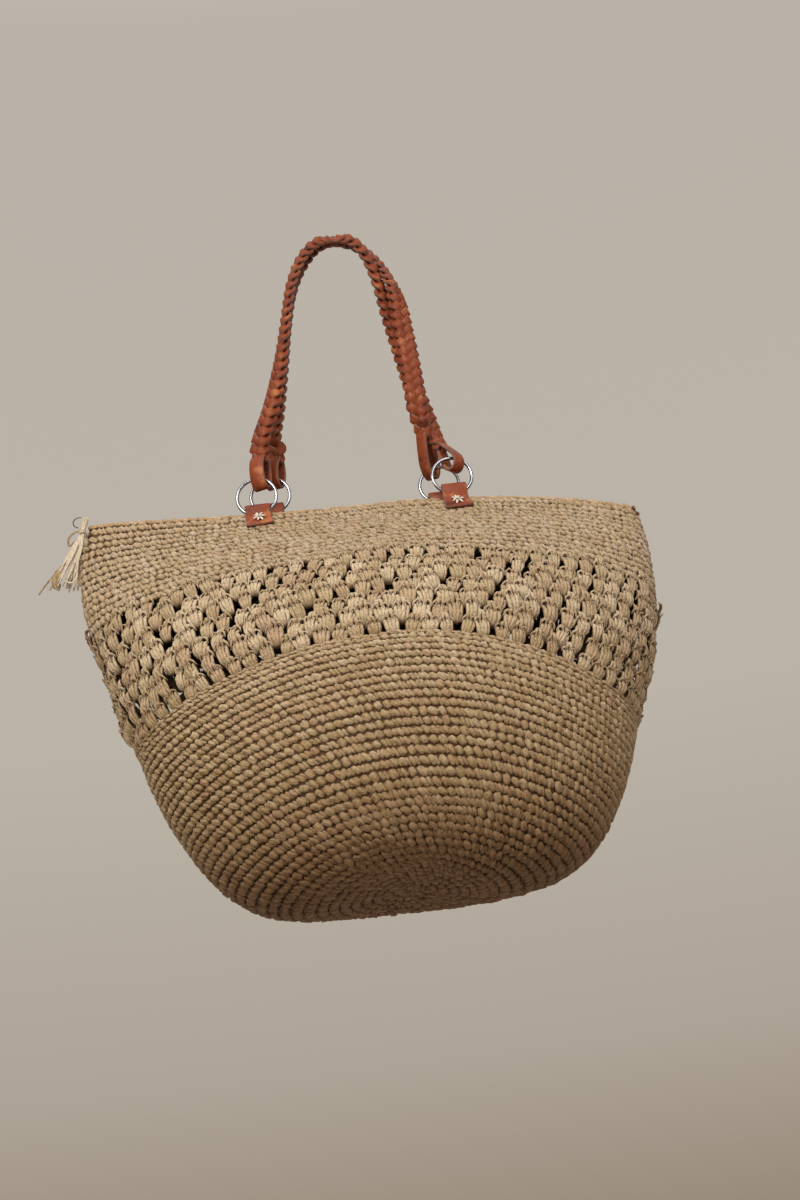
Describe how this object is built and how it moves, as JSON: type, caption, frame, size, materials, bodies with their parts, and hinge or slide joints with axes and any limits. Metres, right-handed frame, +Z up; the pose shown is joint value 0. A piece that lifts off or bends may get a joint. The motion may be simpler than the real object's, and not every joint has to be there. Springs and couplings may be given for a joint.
{
  "type": "straw basket bag",
  "caption": "Round-bottomed crocheted straw tote with a band of openwork, hung by two braided leather handles on metal rings, with a straw tassel at one corner.",
  "frame": {"origin": "the hang point: the underside of the handles' arch, midway between the two handles", "axes": "+Z up, +X to the right as the bag is seen from its bulging front, -Y out of the front; the flat back is the +Y side"},
  "size_m": [0.4568, 0.1831, 0.5734],
  "materials": {
    "straw": "matt crocheted raffia",
    "pale_straw": "dry pale raffia strands",
    "leather": "semi-matt cognac leather",
    "ring_metal": "bright nickel plate"
  },
  "bodies": {
    "root": {"basket_body": "straw", "front_handle_braid": "leather", "back_handle_braid": "leather", "front_left_tab": "leather", "front_left_ring": "ring_metal", "front_left_strap_loop": "leather", "front_right_tab": "leather", "front_right_ring": "ring_metal", "front_right_strap_loop": "leather", "back_left_tab": "leather", "back_left_ring": "ring_metal", "back_left_strap_loop": "leather", "back_right_tab": "leather", "back_right_ring": "ring_metal", "back_right_strap_loop": "leather", "tassel": "pale_straw"}
  },
  "joints": []
}
